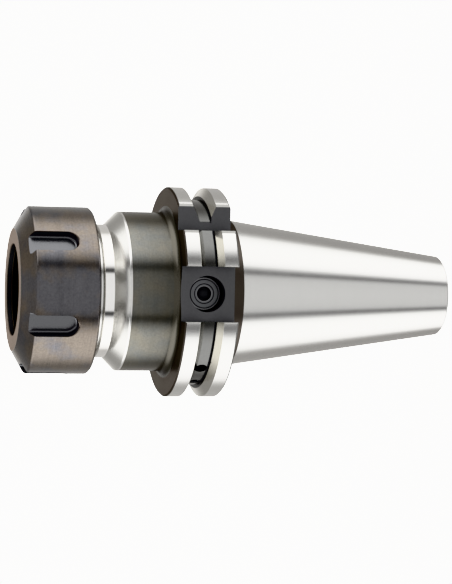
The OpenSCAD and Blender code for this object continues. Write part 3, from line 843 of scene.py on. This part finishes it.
def nut_outline(holder, nut, low, high):
    """Corners of the nut's section, up the outside and down the inside, and where its thread ends."""
    edge = holder.edge_break
    r = nut.nut_d / 2
    shoulder = high - (nut.shoulder_d - nut.face_d) / 2 * tan(nut.cone_angle)
    inner = holder.thread_d / 2 + nut.thread_clearance
    ring_top = high - nut.front_wall
    clip_top = ring_top - nut.play - nut.ring_len
    clip_low = clip_top - nut.play - nut.clip_t - nut.play
    groove_r = nut.clip_d / 2 + nut.thread_clearance
    threads = rows_between(low + nut.thread_chamfer, clip_low, nut.pitch, NOSE_ROWS)
    return [
        (inner + nut.thread_chamfer, low, edge, "nut_back"),
        (r - nut.rear_chamfer, low, edge, "blued_nut"),
        (r, low + nut.rear_chamfer, nut.rear_round, "blued_nut"),
        (r, shoulder - nut.shoulder_len / 2, nut.shoulder_round, "blued_nut"),
        (nut.face_d / 2, high, nut.face_round, "nut_ring"),
        (nut.mouth_d / 2 + nut.mouth_chamfer, high, edge, "nut_ring"),
        # The inside of the nut, near black: painted shade
        (nut.mouth_d / 2, high - nut.mouth_chamfer, 0, "painted_shade_black"),
        (nut.mouth_d / 2, ring_top, 0, "painted_shade_black"),
        (nut.cavity_d / 2, ring_top, 0, "painted_shade_black"),
        (nut.cavity_d / 2, clip_top, 0, "painted_shade_black"),
        (groove_r, clip_top, 0, "painted_shade_black"),
        (groove_r, clip_low, 0, "painted_shade_black"),
        (inner, clip_low, 0, "flank_steel"),
        *[(inner, z, 0, "flank_steel") for z in reversed(threads)],
        (inner, low + nut.thread_chamfer, 0, "flank_steel"),
    ], clip_low


def spanner_outline(nut, high, half):
    """Outline of a spanner slot of a given half width: straight to the front, round at its rear end."""
    end = high - nut.slot_len + nut.slot_w / 2
    angles = [pi + pi * i / SLOT_ARC for i in range(SLOT_ARC + 1)]
    arc = [(half * cos(a), end + half * sin(a)) for a in angles]
    return [(half, high + OVERRUN), (-half, high + OVERRUN), *arc]


def spanner_cutter(i, nut, high):
    """Cutter for one spanner slot: radius around its floor, straight walls, chamfer along its outer edge."""
    half, r = nut.slot_w / 2, nut.slot_round
    edge = nut.nut_d / 2 - nut.slot_floor - nut.slot_edge
    bends = [pi / 2 * i / FLOOR_ARC for i in range(FLOOR_ARC + 1)]
    levels = [(r * (1 - cos(a)), half - r * (1 - sin(a))) for a in bends]
    levels += [(edge, half), (2 * edge, half + edge)]
    outlines = [(height, spanner_outline(nut, high, width)) for height, width in levels]
    rim = len(levels) - 2
    sides = {(rim, i) for i in range(len(outlines[0][1]))}
    cutter = prism(f"spanner_slot_{i}", outlines, "slot_slate", "blued_nut", sides)
    out = direction(nut.slot_turn + i * 2 * pi / nut.slots)
    up = Vector((0, 0, 1))
    basis = Matrix((up.cross(out), up, out)).transposed().to_4x4()
    return place(cutter, Matrix.Translation(out * nut.slot_floor) @ basis)


class HOLDER_OT_nut(bpy.types.Operator):
    """Builds the clamping nut with its spanner slots and thread"""

    bl_idname = "holder.nut"
    bl_label = "Clamping nut"

    def execute(self, context):
        holder, nut, *_ = sizes()
        low, high = (v.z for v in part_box("clamping_nut"))
        corners, top = nut_outline(holder, nut, low, high)

        def relief(radii, heights, turns):
            zone = fade(heights, low + nut.thread_chamfer, top, nut.pitch)
            zone = zone * is_at(radii, holder.thread_d / 2 + nut.thread_clearance)
            return zone * thread(heights, turns, nut.pitch) * nut.thread_height / 2

        piece = turned("nut", corners, relief)
        carve(piece, [spanner_cutter(i, nut, high) for i in range(nut.slots)])
        dress(piece, "nut", "clamping_nut")
        return {"FINISHED"}


def press_ring(holder, nut):
    """The press ring, with the off-centre hole of its lip."""
    edge, kind = holder.edge_break, "dark_face"
    low, high = (v.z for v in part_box("press_ring"))
    cone = (nut.ring_cone_d - nut.mouth_d) / 2 / tan(nut.ring_angle)
    lip_top = low + nut.lip_len
    stock = nut.lip_d / 2 - nut.lip_offset - OVERRUN
    ring = turned("ring", [
        (stock, low, 0, kind),
        (nut.ring_d / 2, low, SOFT * edge, kind),
        (nut.ring_d / 2, high, SOFT * edge, kind),
        (nut.mouth_d / 2, high, edge, "painted_shade_black"),
        (nut.ring_cone_d / 2, high - cone, edge, "painted_shade_black"),
        (nut.ring_cone_d / 2, lip_top, edge, kind),
        (stock, lip_top, 0, kind),
    ])
    lip = turned("lip_cut", [
        (0, low - OVERRUN, 0, kind),
        (nut.lip_d / 2, low - OVERRUN, 0, kind),
        (nut.lip_d / 2, lip_top + nut.play, 0, kind),
        (0, lip_top + nut.play, 0, kind),
    ])
    return carve(ring, [place(lip, Matrix.Translation((nut.lip_offset, 0, 0)))])


def circlip(holder, nut):
    """The open circlip that holds the press ring."""
    low, high = (v.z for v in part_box("ring_circlip"))
    inner, outer = nut.clip_d / 2 - nut.clip_w, nut.clip_d / 2
    section = ((inner, low), (outer, low), (outer, high), (inner, high))
    clip = turned("circlip", [(r, z, holder.edge_break, "circlip_steel") for r, z in section])
    half = nut.clip_opening / 2
    outline = [(-half, 0), (half, 0), (half, nut.clip_d), (-half, nut.clip_d)]
    return carve(clip, [prism("clip_gap", [(low - MM, outline), (high + MM, outline)], "circlip_steel")])


class HOLDER_OT_ring(bpy.types.Operator):
    """Builds the press ring and the circlip inside the nut"""

    bl_idname = "holder.ring"
    bl_label = "Press ring and circlip"

    def execute(self, context):
        holder, nut, *_ = sizes()
        dress(press_ring(holder, nut), "press_ring_body", "press_ring")
        dress(circlip(holder, nut), "nut", "ring_circlip")
        return {"FINISHED"}


def hexagon(across_flats):
    """Corners of a hexagon, as (x, y)."""
    r = across_flats / 2 / cos(pi / 6)
    return [(r * cos(i * pi / 3), r * sin(i * pi / 3)) for i in range(6)]


def slot_screw(holder, screws):
    """The low head screw in the near drive slot, with its rim line, recess and hexagon socket."""
    edge, kind = holder.edge_break, "screw_black"
    top, dish = screws.head_h, screws.head_h - screws.dish_h
    head, shank, line = screws.head_d / 2, screws.shank_d / 2, screws.rim_d / 2
    bevel = screws.head_chamfer / 2
    socket = screws.hex_w / 2 / cos(pi / 6)
    screw = turned("slot_screw_head", [
        (0, -screws.shank_len, 0, kind),
        (shank, -screws.shank_len, SOFT * edge, kind),
        (shank, 0, 0, kind),
        (head, 0, edge, kind),
        (head, top - bevel, edge, "screw_rim"),
        (head - bevel, top, 0, "screw_rim"),
        # The rim line, the recess edge and the socket, near black: painted shade
        (line, top, 0, "painted_shade_black"),
        (line - screws.rim_w / 2, top - screws.rim_w / 2, 0, "painted_shade_black"),
        (line - screws.rim_w, top, 0, kind),
        (screws.dish_d / 2 + screws.rim_w, top, 0, "painted_shade_black"),
        (screws.dish_d / 2, dish, 0, kind),
        (socket + screws.rim_w, dish, 0, "screw_rim"),
        (socket, dish, 0, "painted_shade_black"),
        (screws.hex_w / 2, dish - screws.head_chamfer, 0, "painted_shade_black"),
        (0, dish - screws.head_chamfer, 0, "painted_shade_black"),
    ], columns=BORE_COLUMNS)
    base, height = holder.near_floor - screws.bore_depth, heights_of(holder)["rear"] + screws.offset
    floor = top - screws.hex_depth
    stand = outward(0, base, height)
    levels = [(floor, hexagon(screws.hex_w)), (top, hexagon(screws.hex_w))]
    wall = place(prism("hexagon", levels, "painted_shade_black"), stand)
    radius = screws.hex_w * PIT_SHARE
    pit = drill("socket_pit", radius, base + floor, base + top, 0, height, screws.drill_point)
    return carve(place(screw, stand), [wall, pit])


def set_screw(holder, screws):
    """The set screw in one of the two holes in the groove's floor, with its hexagon socket."""
    kind = "screw_black"
    r, bevel, edge = screws.balance_d / 2 - screws.clearance, screws.head_chamfer, holder.edge_break / 2
    screw = turned("set_screw", [
        (0, 0, 0, kind),
        (r - bevel, 0, 0, kind),
        (r, bevel, 0, kind),
        (r, screws.set_len - bevel, edge, kind),
        (r - bevel, screws.set_len, edge, kind),
        (0, screws.set_len, 0, kind),
    ], columns=BORE_COLUMNS)
    base = holder.flange_d / 2 - holder.groove_depth - screws.set_recess - screws.set_len
    stand = outward(screws.set_angle, base, heights_of(holder)["groove"])
    socket = hexagon(screws.set_hex_w)
    levels = [(screws.set_len - screws.set_hex_depth, socket), (screws.set_len + MM, socket)]
    return carve(place(screw, stand), [place(prism("small_hexagon", levels, "painted_shade_black"), stand)])


class HOLDER_OT_screws(bpy.types.Operator):
    """Builds the slot screw and the set screw"""

    bl_idname = "holder.screws"
    bl_label = "Screws"

    def execute(self, context):
        holder, _, screws, *_ = sizes()
        dress(slot_screw(holder, screws), "holder", "slot_screw")
        dress(set_screw(holder, screws), "holder", "balance_screw")
        return {"FINISHED"}


def add_camera(studio):
    """Camera at the photograph's angle: looks down, rolled so that the axis lies across the picture."""
    pixels = studio.focal / SENSOR * max(PICTURE)
    toward, side, up = direction(studio.azimuth), direction(studio.azimuth + pi / 2), Vector((0, 0, 1))
    forward = -cos(studio.look_down) * toward - sin(studio.look_down) * up
    level = sin(studio.look_down) * toward - cos(studio.look_down) * up
    right = cos(studio.roll) * level + sin(studio.roll) * side
    upward = cos(studio.roll) * side - sin(studio.roll) * level
    holder, *_ = sizes()
    groove = Vector((0, 0, heights_of(holder)["groove"]))
    aim = [(at - size / 2) / pixels for at, size in zip((studio.aim_x, studio.aim_y), PICTURE)]
    ray = Vector((*aim, 1)).normalized()
    data = bpy.data.cameras.new("camera")
    data.lens, data.sensor_width = studio.focal, SENSOR
    data.clip_start, data.clip_end = CLIP
    camera = bpy.data.objects.new("camera", data)
    bpy.context.scene.collection.objects.link(camera)
    spot = groove - studio.distance * (ray.x * right - ray.y * upward + ray.z * forward)
    camera.matrix_world = Matrix.Translation(spot) @ Matrix((right, upward, -forward)).transposed().to_4x4()
    bpy.context.scene.camera = camera


def add_world(studio):
    """Studio light: a panel around the camera, a softbox on each side, a dim surround and a wall behind."""
    world = bpy.data.worlds.new("studio")
    bpy.context.scene.world = world
    world.use_nodes = True
    tree = Tree(world.node_tree)
    world.node_tree.nodes.clear()
    ray = tree.add("ShaderNodeTexCoord").outputs["Generated"]

    def along(axis):
        node = tree.add("ShaderNodeVectorMath", {"operation": "DOT_PRODUCT"}, i0=ray, i1=axis)
        return node.outputs["Value"]

    def step(value, low, high):
        curve = {"interpolation_type": "SMOOTHSTEP"}
        return tree.add("ShaderNodeMapRange", curve, Value=value, From_Min=low, From_Max=high).outputs[0]

    def warm(stops):
        return tree.ramp(rising, [(at, [value / top * tint for tint in WARM]) for at, value in stops])

    front = along(direction(studio.light_turn))
    across = tree.maths("ABSOLUTE", along(direction(studio.light_turn + pi / 2)))
    up = along((0, 0, 1))
    wall = tree.maths("MULTIPLY", front, studio.front_width)
    ceiling = tree.maths("MULTIPLY", up, studio.top_width)
    reach = tree.maths("MAXIMUM", tree.maths("MAXIMUM", wall, ceiling), MIN_REACH)
    gap = tree.maths("DIVIDE", tree.maths("DIVIDE", across, reach), BAND_SPAN)
    top = studio.softbox
    stops = [(at, (getattr(studio, source) * share / top,) * 3) for at, source, share in BANDS]
    bands = tree.ramp(gap, stops)
    rising = tree.add("ShaderNodeMapRange", None, Value=up, From_Min=-1.0, From_Max=1.0).outputs[0]
    bearing = tree.maths("ARCTAN2", across, front)
    behind = tree.mix(step(bearing, studio.back_start, studio.back_end), warm(REAR), warm(BACK))
    low, high = LEAN_RANGE
    limits = {"From_Min": low, "From_Max": high, "To_Max": studio.rear_lean}
    lean = tree.add("ShaderNodeMapRange", None, Value=up, **limits).outputs[0]
    fading = step(tree.maths("SUBTRACT", bearing, lean), studio.rear_start, studio.rear_end)
    light = tree.mix(fading, bands, behind)
    glow = tree.add("ShaderNodeBackground", None, Color=light, Strength=top).outputs[0]
    plain = tree.add("ShaderNodeBackground", None, Color=(1, 1, 1, 1), Strength=studio.backdrop).outputs[0]
    seen = tree.add("ShaderNodeLightPath").outputs["Is Camera Ray"]
    mixed = tree.add("ShaderNodeMixShader", None, Fac=seen, i1=glow, i2=plain).outputs[0]
    tree.add("ShaderNodeOutputWorld", None, Surface=mixed)


class HOLDER_OT_studio(bpy.types.Operator):
    """Builds the pale floor, the studio light and the camera"""

    bl_idname = "holder.studio"
    bl_label = "Studio"

    def execute(self, context):
        *_, finish, studio = sizes()
        scene = context.scene
        scene.view_settings.view_transform = "Khronos PBR Neutral"
        scene.view_settings.look = "None"
        mesh = bpy.data.meshes.new("floor")
        work = bmesh.new()
        bmesh.ops.create_circle(work, cap_ends=True, radius=studio.floor_r, segments=FLOOR_SIDES)
        work.to_mesh(mesh)
        work.free()
        floor = bpy.data.objects.new("floor", mesh)
        scene.collection.objects.link(floor)
        pale = bpy.data.materials.new("pale_floor")
        pale.use_nodes = True
        shader = pale.node_tree.nodes["Principled BSDF"]
        shader.inputs["Base Color"].default_value = (*finish.pale, 1)
        shader.inputs["Roughness"].default_value = 0.9
        shader.inputs["Specular IOR Level"].default_value = 0.1
        shader.inputs["Emission Color"].default_value = (1, 1, 1, 1)
        tree = Tree(pale.node_tree)
        seen = tree.add("ShaderNodeLightPath").outputs["Is Camera Ray"]
        tree.link(tree.maths("MULTIPLY", seen, studio.backdrop - 1.0), shader.inputs["Emission Strength"])
        mesh.materials.append(pale)
        floor.visible_glossy = False
        add_world(studio)
        add_camera(studio)
        return {"FINISHED"}


class HOLDER_PT_panel(bpy.types.Panel):
    """Lists the operators that build the holder, and its sizes and colours"""

    bl_idname = "HOLDER_PT_panel"
    bl_label = "Collet chuck holder"
    bl_space_type = "VIEW_3D"
    bl_region_type = "UI"
    bl_category = "Holder"

    def draw(self, context):
        for operator in OPERATORS:
            self.layout.operator(operator.bl_idname)
        for name, group in GROUPS.items():
            box = self.layout.box()
            for size in group.__annotations__:
                box.prop(getattr(context.scene, name), size)


GROUPS = {
    "holder_sizes": HolderSizes,
    "nut_sizes": NutSizes,
    "screw_sizes": ScrewSizes,
    "finish_colours": FinishColours,
    "studio_sizes": StudioSizes,
}
OPERATORS = (HOLDER_OT_studio, HOLDER_OT_body, HOLDER_OT_nut, HOLDER_OT_ring, HOLDER_OT_screws)


def register():
    """Registers every class and hangs the property groups on the scene."""
    for name, group in GROUPS.items():
        bpy.utils.register_class(group)
        setattr(bpy.types.Scene, name, PointerProperty(type=group))
    for item in (*OPERATORS, HOLDER_PT_panel):
        bpy.utils.register_class(item)


def unregister():
    """Undoes register."""
    for item in (HOLDER_PT_panel, *reversed(OPERATORS)):
        bpy.utils.unregister_class(item)
    for name, group in GROUPS.items():
        delattr(bpy.types.Scene, name)
        bpy.utils.unregister_class(group)


def main():
    register()
    bpy.ops.holder.studio()
    bpy.ops.holder.body()
    bpy.ops.holder.nut()
    bpy.ops.holder.ring()
    bpy.ops.holder.screws()


if __name__ == "__main__":
    main()
